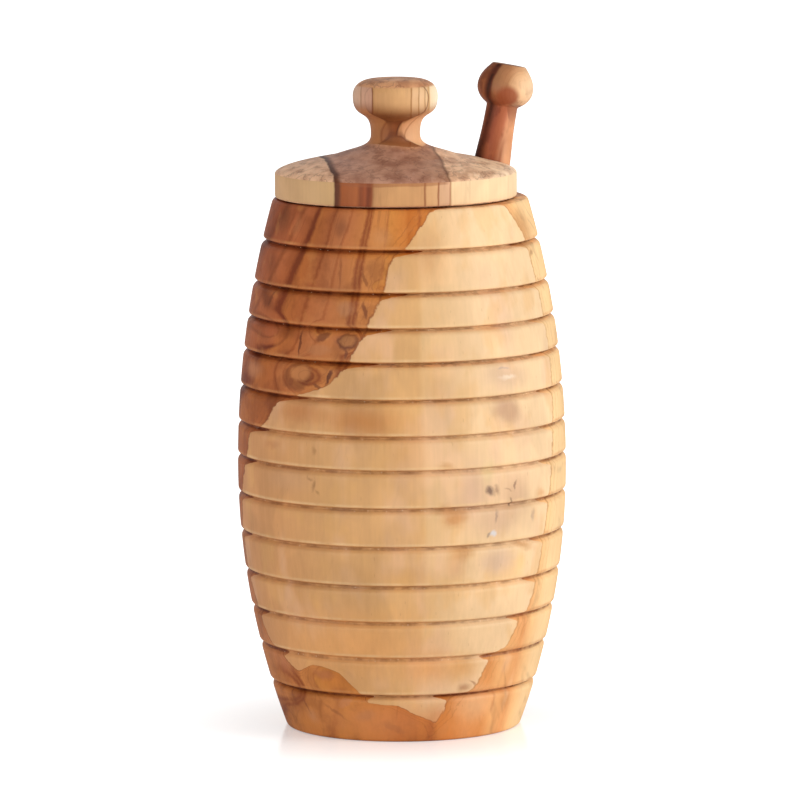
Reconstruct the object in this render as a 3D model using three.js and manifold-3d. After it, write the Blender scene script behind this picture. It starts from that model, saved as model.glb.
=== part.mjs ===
// Olive wood honey pot: a grooved barrel pot, a lift-off lid with a knob, and a honey dipper.
// Each of the three is one piece of olive wood turned on a lathe, so each is a revolved profile.
// Millimetres, +Z up. The origin is the middle of the pot's foot. The dipper leans towards +X.

import * as THREE from 'three';
import { mergeVertices } from 'three/addons/utils/BufferGeometryUtils.js';
import Module from 'manifold-3d';

// Pot: outside
const potHeight = 138;
const bellyHeight = 68.4;
const bellyRadius = 42.7;
const rimRadius = 33;
const footRadius = 30.35;
const rimRounding = 1.2;
const footRounding = 0.9;

// Pot: the turned grooves, from the foot up
const groovePlaceShares = [
  0.0896, 0.1628, 0.2323, 0.3016, 0.3757, 0.4482, 0.519,
  0.5822, 0.6496, 0.7182, 0.7808, 0.8456, 0.9233,
];
const grooveDepth = 1.5;
const grooveDepthShares = [1.15, 0.7, 0.8, 0.85, 0.8, 0.85, 0.8, 0.85, 1.05, 1.3, 1.1, 1.2, 1.2];
const grooveLip = 0.7;
const grooveSlope = 0.9;
const shoulderHeight = 1.3;
const shoulderDepth = 0.5;

// Pot: inside
const rimWall = 4.2;
const floorThickness = 13;
const floorFillet = 8;
const mouthChamfer = 0.6;

// Lid and its knob, heights over the lid's underside
const lidRadius = 31.35;
const lidWall = 6;
const lidEdgeRounding = 0.6;
const lidEdgeSoftness = 2.3;
const crownRadius = 16.1;
const crownHeight = 10.7;
const crownSlope = 0.353;
const stemRadius = 6.4;
const stemBottom = 16;
const stemTop = 16.55;
const knobRadius = 11.05;
const knobCheekHeight = 26.1;
const knobHeight = 30.5;
const knobFlatRadius = 5.4;
const lidSeatGap = 0.3;
const lidShift = 1.2;

// Lid: the shallow spigot that drops into the mouth, and the notch for the dipper's handle
const spigotPlay = 3.95;
const spigotDepth = 2.6;
const spigotRounding = 1.2;
const notchPlay = 0.55;

// Honey dipper, lengths along its own axis
const dipperLength = 160.8;
const headRadius = 13.5;
const headShoulderRise = 19.3;
const headCoreRadius = 7;
const headGrooveCount = 7;
const headGroovePitch = 3.6;
const headGrooveWidth = 1.7;
const firstHeadGrooveDrop = 7.3;
const neckRadius = 3.9;
const handleRadius = 4.85;
const throatRadius = 4.05;
const handleSwellShare = 0.82;
const ballRadius = 7.3;
const ballDrop = 5.6;
const ballCapHeight = 6.1;
const ballCapRadius = 4.3;
const dipperFootOffset = 2;
const restGap = 0.3;
const dipperBearing = THREE.MathUtils.degToRad(18);

// Facets
const potSegments = 48;
const lidSegments = 40;
const dipperSegments = 20;
const curveSteps = 6;
const arcSteps = 2;
const cutOverrun = 5;

const wasm = await Module();
wasm.setup();

// A turned piece's profile is a path of radius and height. It starts and ends on the axis.
function turned(profile, segments) {
  const lathe = new THREE.LatheGeometry(profile, segments);
  lathe.rotateX(Math.PI / 2);
  return closed(lathe);
}

// Joins the seam and the poles of a geometry, so that its skin is one closed surface.
function closed(geometry) {
  geometry.deleteAttribute('normal');
  geometry.deleteAttribute('uv');
  const merged = mergeVertices(geometry);
  const corners = merged.index.array;
  const kept = [];
  for (let i = 0; i < corners.length; i += 3) {
    const [a, b, c] = corners.slice(i, i + 3);
    if (a !== b && b !== c && c !== a) kept.push(a, b, c);
  }
  merged.setIndex(kept);
  return merged;
}

function toSolid(geometry) {
  const mesh = new wasm.Mesh({
    numProp: 3,
    vertProperties: new Float32Array(geometry.attributes.position.array),
    triVerts: new Uint32Array(geometry.index.array),
  });
  mesh.merge();
  return new wasm.Manifold(mesh);
}

function toGeometry(solid) {
  const mesh = solid.getMesh();
  const geometry = new THREE.BufferGeometry();
  geometry.setAttribute('position', new THREE.BufferAttribute(mesh.vertProperties, 3));
  geometry.setIndex(new THREE.BufferAttribute(mesh.triVerts, 1));
  return geometry;
}

// The barrel's side is two arcs that meet upright at the belly.
function barrelRadius(height) {
  const upper = height > bellyHeight;
  const rise = upper ? potHeight - bellyHeight : bellyHeight;
  const draw = bellyRadius - (upper ? rimRadius : footRadius);
  const arc = (rise * rise + draw * draw) / (2 * draw);
  const away = height - bellyHeight;
  return bellyRadius - arc + Math.sqrt(arc * arc - away * away);
}

// One groove: a rounded shoulder on the band below, a slope down to the bottom, a sharp upper lip.
function grooveProfile(bottom, depth) {
  const below = bottom - grooveSlope;
  const shoulder = below - shoulderHeight;
  const above = bottom + grooveLip;
  return [
    new THREE.Vector2(barrelRadius(shoulder), shoulder),
    new THREE.Vector2(barrelRadius(below) - shoulderDepth, below),
    new THREE.Vector2(barrelRadius(bottom) - depth, bottom),
    new THREE.Vector2(barrelRadius(above), above),
  ];
}

const mouthRadius = rimRadius - rimWall;

// The cavity: a straight bore with a coved floor.
function cavityProfile() {
  const cavity = new THREE.Path();
  cavity.moveTo(mouthRadius + mouthChamfer, potHeight);
  cavity.lineTo(mouthRadius, potHeight - mouthChamfer);
  cavity.lineTo(mouthRadius, floorThickness + floorFillet);
  cavity.absarc(mouthRadius - floorFillet, floorThickness + floorFillet, floorFillet,
    0, -Math.PI / 2, true);
  cavity.lineTo(0, floorThickness);
  return cavity.getPoints(arcSteps + 1);
}

function potProfile() {
  const foot = new THREE.Path();
  foot.moveTo(0, 0);
  foot.lineTo(barrelRadius(footRounding) - footRounding, 0);
  foot.quadraticCurveTo(barrelRadius(0), 0, barrelRadius(footRounding), footRounding);
  const points = foot.getPoints(arcSteps);

  let bandBottom = footRounding;
  for (const [i, share] of groovePlaceShares.entries()) {
    const bottom = share * potHeight;
    const groove = grooveProfile(bottom, grooveDepth * grooveDepthShares[i]);
    const middle = (bandBottom + groove[0].y) / 2;
    points.push(new THREE.Vector2(barrelRadius(middle), middle), ...groove);
    bandBottom = bottom + grooveLip;
  }

  const rimStart = potHeight - rimRounding;
  const rim = new THREE.Path();
  rim.moveTo(barrelRadius(rimStart), rimStart);
  rim.quadraticCurveTo(rimRadius, potHeight, rimRadius - rimRounding, potHeight);
  const middle = (bandBottom + rimStart) / 2;
  points.push(new THREE.Vector2(barrelRadius(middle), middle));
  points.push(...rim.getPoints(arcSteps + 1), ...cavityProfile());
  return points;
}

// The lid in its own frame: underside at height zero, spigot below it, knob on top.
function lidProfile() {
  const spigotRadius = mouthRadius - spigotPlay;
  const lid = new THREE.Path();
  lid.moveTo(0, -spigotDepth);
  lid.lineTo(spigotRadius - spigotRounding, -spigotDepth);
  lid.quadraticCurveTo(spigotRadius, -spigotDepth, spigotRadius, spigotRounding - spigotDepth);
  lid.lineTo(spigotRadius, 0);
  lid.lineTo(lidRadius - lidEdgeRounding, 0);
  lid.lineTo(lidRadius, lidEdgeRounding);
  lid.lineTo(lidRadius, lidWall);
  const crownRun = (crownRadius - stemRadius) * 0.6;
  lid.bezierCurveTo(
    lidRadius, lidWall + lidEdgeSoftness,
    crownRadius + crownRun / 4, crownHeight - (crownRun / 4) * crownSlope,
    crownRadius, crownHeight,
  );
  lid.bezierCurveTo(
    crownRadius - crownRun, crownHeight + crownRun * crownSlope,
    stemRadius, crownHeight + (stemBottom - crownHeight) * 0.42,
    stemRadius, stemBottom,
  );
  lid.lineTo(stemRadius, stemTop);
  const knobFlare = (knobCheekHeight - stemTop) * 0.7;
  lid.bezierCurveTo(
    stemRadius, stemTop + knobFlare,
    knobRadius, knobCheekHeight - knobFlare,
    knobRadius, knobCheekHeight,
  );
  const knobCrown = knobHeight - knobCheekHeight;
  lid.bezierCurveTo(
    knobRadius, knobCheekHeight + knobCrown * 0.8,
    (knobRadius + knobFlatRadius) * 0.46, knobHeight,
    knobFlatRadius, knobHeight,
  );
  lid.lineTo(0, knobHeight);
  return lid.getPoints(curveSteps);
}

// The dipper in its own frame: the centre of its round end is the origin, its axis is +Z.
function headRadiusAt(along) {
  const reach = along < 0 ? headRadius : headShoulderRise;
  return headRadius * Math.sqrt(1 - (along / reach) ** 2);
}

function dipperProfile() {
  const firstGroove = -firstHeadGrooveDrop;
  const dome = new THREE.Path();
  const domeEnd = firstGroove - headGrooveWidth / 2;
  dome.absarc(0, 0, headRadius, -Math.PI / 2, Math.asin(domeEnd / headRadius), false);
  const points = dome.getPoints(arcSteps);

  for (let i = 0; i < headGrooveCount; i += 1) {
    const low = firstGroove + i * headGroovePitch - headGrooveWidth / 2;
    const high = low + headGrooveWidth;
    if (i > 0) points.push(new THREE.Vector2(headRadiusAt(low), low));
    points.push(new THREE.Vector2(headCoreRadius, low + headGrooveWidth / 3));
    points.push(new THREE.Vector2(headCoreRadius, high - headGrooveWidth / 3));
    points.push(new THREE.Vector2(headRadiusAt(high), high));
  }

  const headTop = headShoulderRise * Math.sqrt(1 - (neckRadius / headRadius) ** 2);
  const ballCentre = dipperLength - headRadius - ballCapHeight;
  const throatTurn = Math.acos(throatRadius / ballRadius);
  const throatHeight = ballCentre - ballDrop * Math.sin(throatTurn);
  const swellHeight = headTop + (throatHeight - headTop) * handleSwellShare;
  const handle = new THREE.Path();
  handle.moveTo(neckRadius, headTop);
  handle.bezierCurveTo(
    neckRadius, headTop + (swellHeight - headTop) / 2,
    handleRadius, headTop + (swellHeight - headTop) / 2,
    handleRadius, swellHeight,
  );
  handle.bezierCurveTo(
    handleRadius, (swellHeight + throatHeight) / 2,
    throatRadius, (swellHeight + throatHeight) / 2,
    throatRadius, throatHeight,
  );
  handle.absellipse(0, ballCentre, ballRadius, ballDrop, -throatTurn, 0, false);
  handle.bezierCurveTo(
    ballRadius, ballCentre + ballCapHeight * 0.43,
    (ballRadius + ballCapRadius) / 2, ballCentre + ballCapHeight * 0.7,
    ballCapRadius, ballCentre + ballCapHeight,
  );
  handle.lineTo(0, ballCentre + ballCapHeight);
  return points.concat(handle.getPoints(curveSteps));
}

// The dipper's round end stands on the floor and its handle leans on the mouth's edge.
const pivotHeight = floorThickness + restGap + headRadius;
const leanRun = mouthRadius - dipperFootOffset;
const leanRise = potHeight - pivotHeight;
const dipperLean = Math.atan2(leanRun, leanRise)
  - Math.asin((handleRadius + restGap) / Math.hypot(leanRun, leanRise));

const outward = new THREE.Vector3(Math.cos(dipperBearing), Math.sin(dipperBearing), 0);
const pivot = outward.clone().multiplyScalar(dipperFootOffset).setZ(pivotHeight);
const lean = new THREE.Euler(0, dipperLean, dipperBearing, 'ZYX');
const lidPlace = outward.clone().multiplyScalar(-lidShift).setZ(potHeight + lidSeatGap);

// The notch runs along the handle, round on its inner side and open through the lid's edge.
function notchCutter() {
  const radius = handleRadius + notchPlay;
  const reach = lidRadius + cutOverrun;
  const outline = new THREE.Shape();
  outline.absarc(0, 0, radius, Math.PI / 2, Math.PI * 1.5, false);
  outline.lineTo(reach, -radius);
  outline.lineTo(reach, radius);
  outline.closePath();
  const bottom = potHeight - pivotHeight - spigotDepth - cutOverrun;
  const depth = lidWall + crownHeight + spigotDepth + 2 * cutOverrun;
  const cutter = new THREE.ExtrudeGeometry(outline, { depth, bevelEnabled: false, curveSegments: 12 });
  cutter.translate(0, 0, bottom);
  const place = new THREE.Matrix4().makeRotationFromEuler(lean).setPosition(pivot.clone().sub(lidPlace));
  cutter.applyMatrix4(place);
  return closed(cutter);
}

function piece(name, geometry, color) {
  const material = new THREE.MeshStandardMaterial({ color, roughness: 0.45, metalness: 0 });
  const mesh = new THREE.Mesh(geometry, material);
  mesh.name = name;
  return mesh;
}

const pot = piece('pot', turned(potProfile(), potSegments), 0xd9a466);

const lidBlank = toSolid(turned(lidProfile(), lidSegments));
const lid = piece('lid', toGeometry(lidBlank.subtract(toSolid(notchCutter()))), 0xc98f57);
lid.position.copy(lidPlace);

const dipper = piece('dipper', turned(dipperProfile(), dipperSegments), 0x8a4f2c);
dipper.position.copy(pivot);
dipper.rotation.copy(lean);

const honeyPot = new THREE.Group();
honeyPot.name = 'honey_pot';
honeyPot.add(pot, lid, dipper);

export default honeyPot;
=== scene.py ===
import math

import bmesh
import bpy
from mathutils import Matrix, Vector
from mathutils.geometry import interpolate_bezier


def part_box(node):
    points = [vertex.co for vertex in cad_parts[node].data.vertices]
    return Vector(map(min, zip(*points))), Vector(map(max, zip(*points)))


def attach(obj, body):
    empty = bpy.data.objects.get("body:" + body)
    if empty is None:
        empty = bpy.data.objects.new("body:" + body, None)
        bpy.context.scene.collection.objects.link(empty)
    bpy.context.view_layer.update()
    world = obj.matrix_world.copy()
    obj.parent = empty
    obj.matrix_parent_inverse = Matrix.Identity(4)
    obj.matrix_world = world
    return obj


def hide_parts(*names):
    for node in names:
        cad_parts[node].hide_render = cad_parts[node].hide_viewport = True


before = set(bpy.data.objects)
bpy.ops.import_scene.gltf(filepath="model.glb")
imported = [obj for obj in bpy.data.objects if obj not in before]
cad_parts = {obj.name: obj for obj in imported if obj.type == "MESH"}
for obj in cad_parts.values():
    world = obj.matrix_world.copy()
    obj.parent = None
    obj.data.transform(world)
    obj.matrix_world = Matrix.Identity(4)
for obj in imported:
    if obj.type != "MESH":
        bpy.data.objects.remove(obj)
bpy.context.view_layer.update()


# The pot.
# One block of olive wood, turned between centres to a barrel, grooved thirteen times with the
# corner of a chisel, then bored out from the top. Oiled, not lacquered.

# The pieces' sizes are in mm, up to where a mesh is made. Lamps and camera are placed in metres.
MM = 0.001
pot_low, pot_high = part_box("pot")
pot_height = pot_high.z / MM
belly_radius = (pot_high.x - pot_low.x) / 2 / MM
belly_height = 68.4
rim_radius = 33
foot_radius = 30.35
rim_wall = 4.2
mouth_radius = rim_radius - rim_wall
floor_thickness = 13
floor_fillet = 8
groove_place_shares = [
    0.0896, 0.1628, 0.2323, 0.3016, 0.3757, 0.4482, 0.519,
    0.5822, 0.6496, 0.7182, 0.7808, 0.8456, 0.9233,
]
groove_depth = 1.5
groove_depth_shares = [1.15, 0.7, 0.8, 0.85, 0.8, 0.85, 0.8, 0.85, 1.05, 1.3, 1.1, 1.2, 1.2]
groove_lip = 0.7
groove_slope = 0.9
lip_highlight_height = 0.4
worn_lip_fades_at = 0.9
shoulder_height = 1.3
shoulder_depth = 0.5
foot_edge = 0.9
rim_edge_height = 1.3
rim_edge_width = 1.4
mouth_edge = 0.9


def barrel_radius(height):
    """The side is two arcs that meet upright at the belly."""
    upper = height > belly_height
    rise = pot_height - belly_height if upper else belly_height
    draw = belly_radius - (rim_radius if upper else foot_radius)
    arc = (rise * rise + draw * draw) / (2 * draw)
    away = height - belly_height
    return belly_radius - arc + math.sqrt(arc * arc - away * away)


def on_side(height, inset=0.0):
    """A point of the profile on the side, or as far inside it as the inset."""
    return Vector((barrel_radius(height) - inset, height))


def curve(start, first, second, end, steps):
    """Points of a Bezier curve through a profile, without its first one."""
    flat = interpolate_bezier(start, first, second, end, steps + 1)
    return [Vector(point[:2]) for point in flat[1:]]


def pot_profile():
    """From the middle of the foot up the outside, over the rim and down the bore."""
    points = [Vector((0, 0)), Vector((foot_radius * 0.5, 0)), Vector((foot_radius - 1.6, 0))]
    points += curve(points[-1], on_side(0, foot_edge / 2), on_side(0), on_side(foot_edge), 5)
    # At each groove the side turns in over a worn shoulder, dips to the bottom of the cut, and
    # comes out again under a thin, sharp lip.
    for place, depth_share in zip(groove_place_shares, groove_depth_shares):
        bottom = place * pot_height
        depth = groove_depth * depth_share
        below = bottom - groove_slope
        shoulder = below - shoulder_height
        lip = bottom + groove_lip
        start = points[-1].y
        points += [on_side(start + (shoulder - start) * step / 5) for step in range(1, 6)]
        points += curve(
            points[-1], on_side(shoulder + shoulder_height * 0.7),
            on_side(below - 0.3, shoulder_depth * 0.5), on_side(below, shoulder_depth), 6)
        points += curve(
            points[-1], on_side(below + 0.35, shoulder_depth + 0.4),
            on_side(bottom - 0.25, depth), on_side(bottom, depth), 6)
        points += curve(
            points[-1], on_side(bottom + 0.2, depth), on_side(lip - 0.3, 0.65),
            on_side(lip - 0.2, 0.4), 5)
        points += curve(
            points[-1], on_side(lip - 0.12, 0.15), on_side(lip, 0.02), on_side(lip + 0.35), 4)
        points.append(on_side(lip + worn_lip_fades_at))
    start = points[-1].y
    rim_start = pot_height - rim_edge_height
    points += [on_side(start + (rim_start - start) * step / 5) for step in range(1, 6)]
    points += curve(
        points[-1], on_side(pot_height - 0.3), Vector((rim_radius - 0.3, pot_height)),
        Vector((rim_radius - rim_edge_width, pot_height)), 6)
    points.append(Vector((mouth_radius + mouth_edge, pot_height)))
    points += curve(
        points[-1], Vector((mouth_radius + 0.3, pot_height)), Vector((mouth_radius, pot_height - 0.3)),
        Vector((mouth_radius, pot_height - mouth_edge)), 5)
    wall_foot = floor_thickness + floor_fillet
    top = points[-1].y
    points += [Vector((mouth_radius, top + (wall_foot - top) * step / 12)) for step in range(1, 13)]
    for step in range(1, 9):
        turn = math.pi / 2 * step / 8
        points.append(Vector((
            mouth_radius - floor_fillet + floor_fillet * math.cos(turn),
            wall_foot - floor_fillet * math.sin(turn))))
    points += [Vector((mouth_radius * 0.35, floor_thickness)), Vector((0, floor_thickness))]
    return points


def turn_on_lathe(name, profile, steps, place=Matrix.Identity(4)):
    """Spins a profile of radius and height in mm round the upright axis, and puts it in place."""
    bm = bmesh.new()
    corners = [bm.verts.new((point.x, 0, point.y)) for point in profile]
    edges = [bm.edges.new(pair) for pair in zip(corners, corners[1:])]
    bmesh.ops.spin(
        bm, geom=corners + edges, cent=(0, 0, 0), axis=(0, 0, 1), angle=math.tau, steps=steps,
        use_merge=True, use_normal_flip=False, use_duplicate=False)
    bmesh.ops.remove_doubles(bm, verts=bm.verts, dist=0.001)
    bmesh.ops.recalc_face_normals(bm, faces=bm.faces)
    bmesh.ops.transform(bm, matrix=Matrix.Scale(MM, 4), verts=bm.verts)
    bmesh.ops.transform(bm, matrix=place, verts=bm.verts)
    mesh = bpy.data.meshes.new(name)
    bm.to_mesh(mesh)
    bm.free()
    piece = bpy.data.objects.new(name, mesh)
    bpy.context.scene.collection.objects.link(piece)
    return piece


def smooth_but_keep_arrises(piece, angle):
    """Shades a piece smooth, apart from the edges where two faces meet at more than the angle."""
    bm = bmesh.new()
    bm.from_mesh(piece.data)
    for face in bm.faces:
        face.smooth = True
    for edge in bm.edges:
        edge.smooth = edge.calc_face_angle(0) < angle
    bm.to_mesh(piece.data)
    bm.free()


def linear(colour):
    """An sRGB hex colour as linear RGBA."""
    channels = [int(colour[place:place + 2], 16) / 255 for place in (1, 3, 5)]
    curved = [c / 12.92 if c <= 0.04045 else ((c + 0.055) / 1.055) ** 2.4 for c in channels]
    return (*curved, 1)


def add(tree, kind, inputs=None, stops=None, curve_points=None, **settings):
    """Adds a node. An input is a value, a hex colour, a socket, or a node whose open output it takes."""
    node = tree.nodes.new("ShaderNode" + kind)
    for setting, value in settings.items():
        setattr(node, setting, value)
    for socket, value in (inputs or {}).items():
        if isinstance(value, bpy.types.Node):
            value = next(out for out in value.outputs if out.enabled)
        if isinstance(value, bpy.types.NodeSocket):
            tree.links.new(value, node.inputs[socket])
        else:
            node.inputs[socket].default_value = linear(value) if isinstance(value, str) else value
    if stops:
        ramp = node.color_ramp.elements
        while len(ramp) < len(stops):
            ramp.new(1)
        for element, (position, colour) in zip(ramp, stops):
            element.position = position
            element.color = linear(colour)
    if curve_points:
        line = node.mapping.curves[0].points
        while len(line) < len(curve_points):
            line.new(1, 1)
        for handle, place in zip(line, curve_points):
            handle.location = place
        node.mapping.update()
    return node


# Two nodes are used over and over. A MapRange takes a value at socket 0 and goes smoothly from
# what stands at 3 to what stands at 4, or from 0 to 1, as the value goes from 1 to 2. A Mix lays
# the colour at 7 over the colour at 6 by the share at 0.
smoothly = {"interpolation_type": "SMOOTHSTEP", "clamp": False}
in_colour = {"data_type": "RGBA"}


def ramp_over(tree, value, low, high, stops):
    """Colours along a length: each stop is a place in mm and a colour."""
    share = add(tree, "MapRange", {0: value, 1: low, 2: high}, clamp=False)
    return add(tree, "ValToRGB", {0: share}, stops=[
        ((place - low) / (high - low), colour) for place, colour in stops])


def noise(tree, place, size, detail=2.0, scale=(1, 1, 1)):
    """Noise with features about as wide as the size in mm, stretched where the scale is small."""
    stretched = add(tree, "Mapping", {"Vector": place, "Scale": scale})
    return add(
        tree, "TexNoise", {"Vector": stretched, "Scale": 1 / size, "Detail": detail, "Roughness": 0.55})


def stir(tree, place, size, detail, reach, scale=(1, 1, 1)):
    """Moves a place about by noise with features as wide as the size, all in mm."""
    cloud = noise(tree, place, size, detail, scale)
    centred = add(
        tree, "VectorMath", {0: cloud.outputs["Color"], 1: (0.5, 0.5, 0.5)}, operation="SUBTRACT")
    return add(tree, "VectorMath", {0: centred, 1: reach, 2: place}, operation="MULTIPLY_ADD")


# The wood's pattern, in mm. Real pores and tool marks are finer still: both are drawn as coarse as
# they need to be to show.
growth_line_spacing = 3.2
fibre_width = 0.8
cloud_width = 10
silky_patch_width = 7
pore_spacing = 1.6
mottle_width = 3.2
fleck_width = 1.5
vein_spacing = 7
tool_mark_spacing = 0.5
noise_middle = 0.5


def olive_wood(name, figure):
    """Turned and oiled olive wood, smooth but not glossy. figure(tree, point) paints what is a
    piece's own, at a point in mm. It gives five things: the colour along the trunk, the place
    across the growth rings, how strongly thin lines show, the colour of the end grain, and how
    far a face has to turn up or down to show it.
    Over the figure lies what all olive wood has: silky fibre along the trunk, thin dark growth
    lines, short open pores, and darker, mottled end grain where the lathe cut across the trunk."""
    material = bpy.data.materials.new(name)
    material.use_nodes = True
    tree = material.node_tree
    tree.nodes.clear()
    place = add(tree, "TexCoord")
    scaled = add(tree, "Mapping", {"Vector": place.outputs["Object"], "Scale": (1000, 1000, 1000)})
    facing = add(tree, "SeparateXYZ", {0: place.outputs["Normal"]})

    # The rings wander by about 1 mm over 25 mm, and shiver by 0.3 mm over 5 mm.
    trunk = (1, 1, 0.4)
    wandering = stir(tree, scaled, 25, 2, (4, 4, 3), trunk)
    point = stir(tree, wandering, 5, 3, (1.2, 1.2, 0.8), trunk)

    side, ring, line_strength, across, end_from = figure(tree, point)

    # Thin growth lines follow the rings and run nearly straight along the trunk.
    axes = add(tree, "SeparateXYZ", {0: point})
    ring_space = add(tree, "CombineXYZ", {"X": ring, "Z": axes.outputs["Z"]})
    line_noise = noise(tree, ring_space, growth_line_spacing, 2.5, (1, 1, 0.07))
    off_line = add(tree, "Math", {0: line_noise, 1: noise_middle}, operation="SUBTRACT")
    off_line_size = add(tree, "Math", {0: off_line}, operation="ABSOLUTE")
    thin_line = add(tree, "MapRange", {0: off_line_size, 1: 0.0, 2: 0.03, 3: 1.0, 4: 0.0}, **smoothly)
    line_breaks = noise(tree, scaled, 7, 2, trunk)
    line_shown = add(tree, "MapRange", {0: line_breaks, 1: 0.44, 2: 0.6}, **smoothly)
    line_here = add(tree, "Math", {0: thin_line, 1: line_shown}, operation="MULTIPLY")
    line_amount = add(tree, "Math", {0: line_here, 1: line_strength}, operation="MULTIPLY")
    lined = add(tree, "Mix", {0: line_amount, 6: side, 7: "#5f2c12"}, **in_colour)

    # Fibre: faint streaks about 30 mm long. Clouds and patches, 6 to 14 mm wide, are each a little
    # lighter or darker, as the silky grain turns towards the light or away from it.
    fibre = noise(tree, scaled, fibre_width, 4, (1, 1, 0.03))
    fibre_tone = add(tree, "MapRange", {0: fibre, 1: 0.3, 2: 0.7, 3: 0.97, 4: 1.03})
    cloud = noise(tree, scaled, cloud_width, 5, (1, 1, 0.6))
    cloud_tone = add(tree, "MapRange", {0: cloud, 1: 0.3, 2: 0.7, 3: 0.93, 4: 1.07})
    patch_space = add(tree, "Mapping", {"Vector": point, "Scale": (1, 1, 0.6)})
    patch_cells = add(
        tree, "TexVoronoi",
        {"Vector": patch_space, "Scale": 1 / silky_patch_width, "Smoothness": 0.35},
        feature="SMOOTH_F1")
    patch = add(tree, "SeparateColor", {0: patch_cells.outputs["Color"]}).outputs[0]
    patch_tone = add(tree, "MapRange", {0: patch, 1: 0.0, 2: 1.0, 3: 0.94, 4: 1.06})
    cloudy = add(tree, "Math", {0: fibre_tone, 1: cloud_tone}, operation="MULTIPLY")
    tone = add(tree, "Math", {0: cloudy, 1: patch_tone}, operation="MULTIPLY")
    toned = add(tree, "VectorMath", {0: lined, "Scale": tone}, operation="SCALE")

    # Pores: a few short brown dashes along the trunk, 0.2 mm wide.
    pore_space = add(tree, "Mapping", {"Vector": scaled, "Scale": (1, 1, 0.2)})
    pores = add(tree, "TexVoronoi", {"Vector": pore_space, "Scale": 1 / pore_spacing}, feature="F1")
    to_pore = pores.outputs["Distance"]
    pore = add(tree, "MapRange", {0: to_pore, 1: 0.04, 2: 0.1, 3: 0.22, 4: 0.0}, **smoothly)
    pored = add(tree, "Mix", {0: pore, 6: toned, 7: "#8a5a34"}, **in_colour)

    # End grain, on faces that look up or down: darker, pinker and mottled, with pale flecks and
    # thin brown veins.
    upright = add(tree, "Math", {0: facing.outputs["Z"]}, operation="ABSOLUTE")
    end_to = add(tree, "Math", {0: end_from, 1: 0.15}, operation="ADD")
    end = add(tree, "MapRange", {0: upright, 1: end_from, 2: end_to}, **smoothly)
    mottle_noise = noise(tree, scaled, mottle_width, 6, (1, 0.6, 1))
    mottle = add(tree, "MapRange", {0: mottle_noise, 1: 0.3, 2: 0.66}, **smoothly)
    mottled = add(tree, "Mix", {0: mottle, 6: "#d2b8aa", 7: "#fff0e4"}, **in_colour)
    fleck_noise = noise(tree, scaled, fleck_width, 3, (1, 0.5, 1))
    fleck = add(tree, "MapRange", {0: fleck_noise, 1: 0.58, 2: 0.68, 3: 0, 4: 0.4}, **smoothly)
    flecked = add(tree, "Mix", {0: fleck, 6: mottled, 7: "#ffffff"}, **in_colour)
    across_colour = add(tree, "Mix", {0: 1.0, 6: across, 7: flecked}, **in_colour, blend_type="MULTIPLY")
    vein_noise = noise(tree, scaled, vein_spacing, 5)
    off_vein = add(tree, "Math", {0: vein_noise, 1: noise_middle}, operation="SUBTRACT")
    off_vein_size = add(tree, "Math", {0: off_vein}, operation="ABSOLUTE")
    vein = add(tree, "MapRange", {0: off_vein_size, 1: 0.0, 2: 0.025, 3: 0.42, 4: 0.0}, **smoothly)
    veined = add(tree, "Mix", {0: vein, 6: across_colour, 7: "#6b4230"}, **in_colour)
    wood = add(tree, "Mix", {0: end, 6: pored, 7: veined}, **in_colour)

    # Tool marks: faint rings round the piece from the gouge and the sanding. The fibre stands up a
    # little too, and the pores are pits. The oil has soaked in, so the shine is soft.
    marks = noise(tree, scaled, tool_mark_spacing, 2, (0.05, 0.05, 1))
    fibre_height = add(tree, "Math", {0: fibre, 1: 0.5}, operation="MULTIPLY")
    mark_height = add(tree, "Math", {0: marks, 1: 0.5, 2: fibre_height}, operation="MULTIPLY_ADD")
    height = add(tree, "Math", {0: pore, 1: -1.2, 2: mark_height}, operation="MULTIPLY_ADD")
    bump = add(tree, "Bump", {"Height": height, "Strength": 0.3, "Distance": 0.0001})
    sheen = add(tree, "MapRange", {0: fibre, 1: 0.3, 2: 0.7, 3: 0.58, 4: 0.48})
    shader = add(
        tree, "BsdfPrincipled",
        {"Base Color": wood, "Roughness": sheen, "Normal": bump, "IOR": 1.46,
         "Specular IOR Level": 0.3})
    add(tree, "OutputMaterial", {"Surface": shader})
    return material


# Where the window of pale sapwood starts and ends round the pot, by height: each pair is a height
# in mm and an angle in degrees from the front, to the right.
pale_from = [
    (0, 18), (5, 15), (6.5, 10), (8, 4), (9.7, -3), (10.6, -17), (13, -27), (16, -43), (19, -53),
    (22.5, -61.5), (24.5, -67), (32, -72), (48, -79), (64, -75), (74, -69), (79, -66.5), (82, -57),
    (88, -50), (92.3, -30), (97.8, -20.8), (101, -18), (106.5, -13.4), (110, -11.7), (116, -7.6),
    (119.4, -5.5), (126, -2.6), (129.5, 3), (138, 14),
]
pale_to = [
    (0, 4), (5, 14), (7, 17.5), (11.2, 20.5), (14, 31), (20, 36.5), (22.4, 39), (24, 45), (31.4, 51),
    (33.4, 54.5), (41, 58), (50, 60), (60, 62.5), (75, 66), (92, 68.3), (108, 68), (122, 65.5),
    (130, 62.5), (138, 53),
]

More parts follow.
